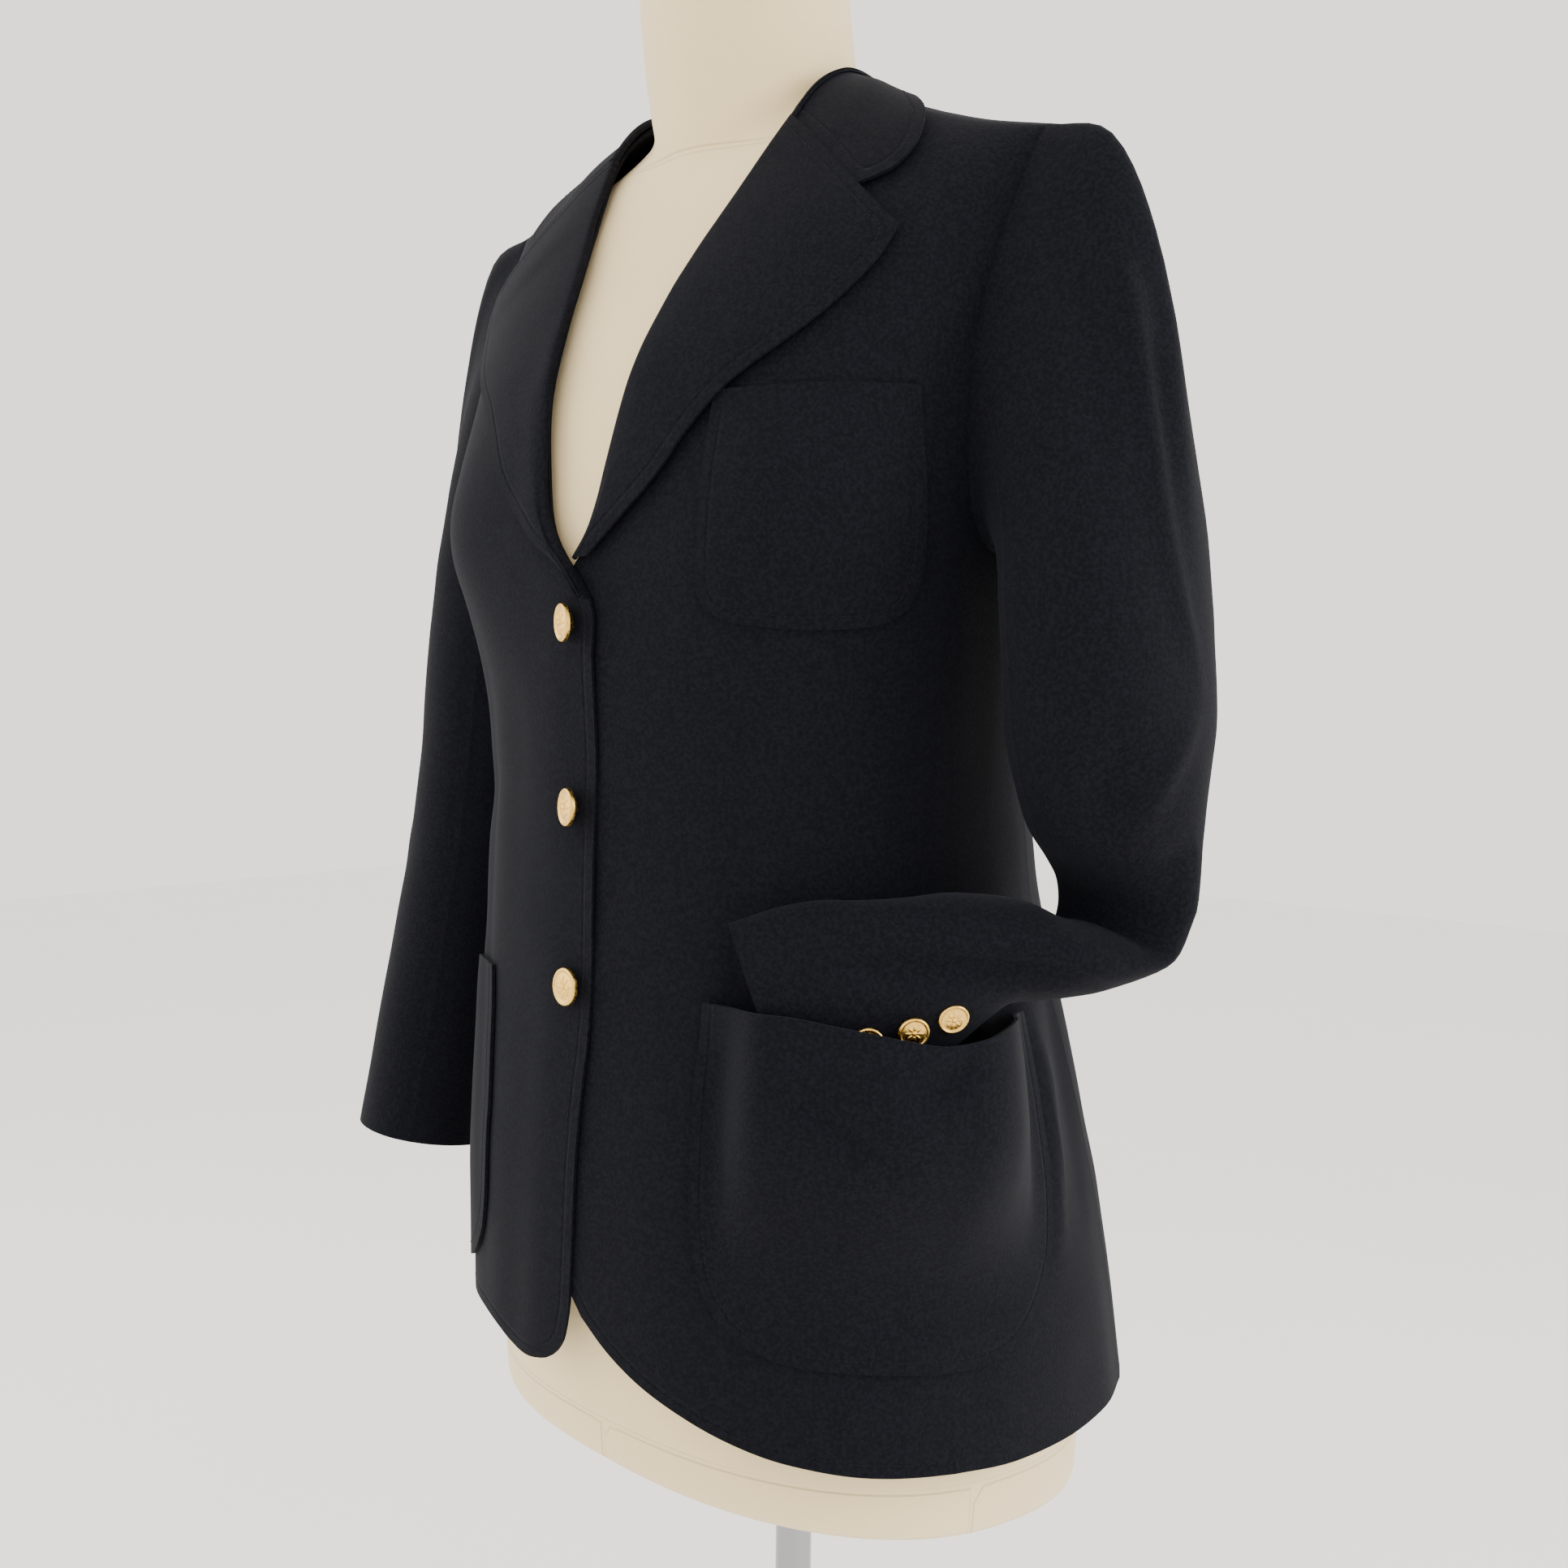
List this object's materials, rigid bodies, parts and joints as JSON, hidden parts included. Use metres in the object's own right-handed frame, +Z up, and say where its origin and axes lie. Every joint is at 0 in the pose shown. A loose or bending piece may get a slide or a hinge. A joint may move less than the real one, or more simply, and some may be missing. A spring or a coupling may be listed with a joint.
{
  "type": "tailored jacket on dress form stand",
  "caption": "Women's navy single-breasted jacket with notched lapels and patch pockets, worn by a limbless jersey dress form on a round-based stand, left cuff tucked in its pocket.",
  "frame": {"origin": "centre of the stand base's underside, on the floor and on the pole's axis", "axes": "+Z up, -Y the way the wearer faces, +X the wearer's left"},
  "size_m": [0.5791, 0.3805, 1.49],
  "materials": {
    "jacket_cloth": "matt navy woven cloth with navy topstitching",
    "button_metal": "satin gilt with a plain raised rim",
    "form_jersey": "cream jersey cover with a piped seam",
    "stand_chrome": "polished tube",
    "stand_enamel": "satin pale grey enamel"
  },
  "bodies": {
    "root": {"front_left": "jacket_cloth", "front_right": "jacket_cloth", "side_panel_left": "jacket_cloth", "side_panel_right": "jacket_cloth", "back_left": "jacket_cloth", "back_right": "jacket_cloth", "lapel_left": "jacket_cloth", "lapel_right": "jacket_cloth", "top_sleeve_left": "jacket_cloth", "top_sleeve_right": "jacket_cloth", "under_sleeve_left": "jacket_cloth", "under_sleeve_right": "jacket_cloth", "hip_pocket_left": "jacket_cloth", "hip_pocket_right": "jacket_cloth", "chest_pocket": "jacket_cloth", "collar": "jacket_cloth", "front_button_1": "button_metal", "front_button_2": "button_metal", "front_button_3": "button_metal", "sleeve_button_left_1": "button_metal", "sleeve_button_left_2": "button_metal", "sleeve_button_left_3": "button_metal", "sleeve_button_right_1": "button_metal", "sleeve_button_right_2": "button_metal", "sleeve_button_right_3": "button_metal", "dress_form": "form_jersey", "stand_pole": "stand_chrome", "stand_base": "stand_enamel"}
  },
  "joints": []
}
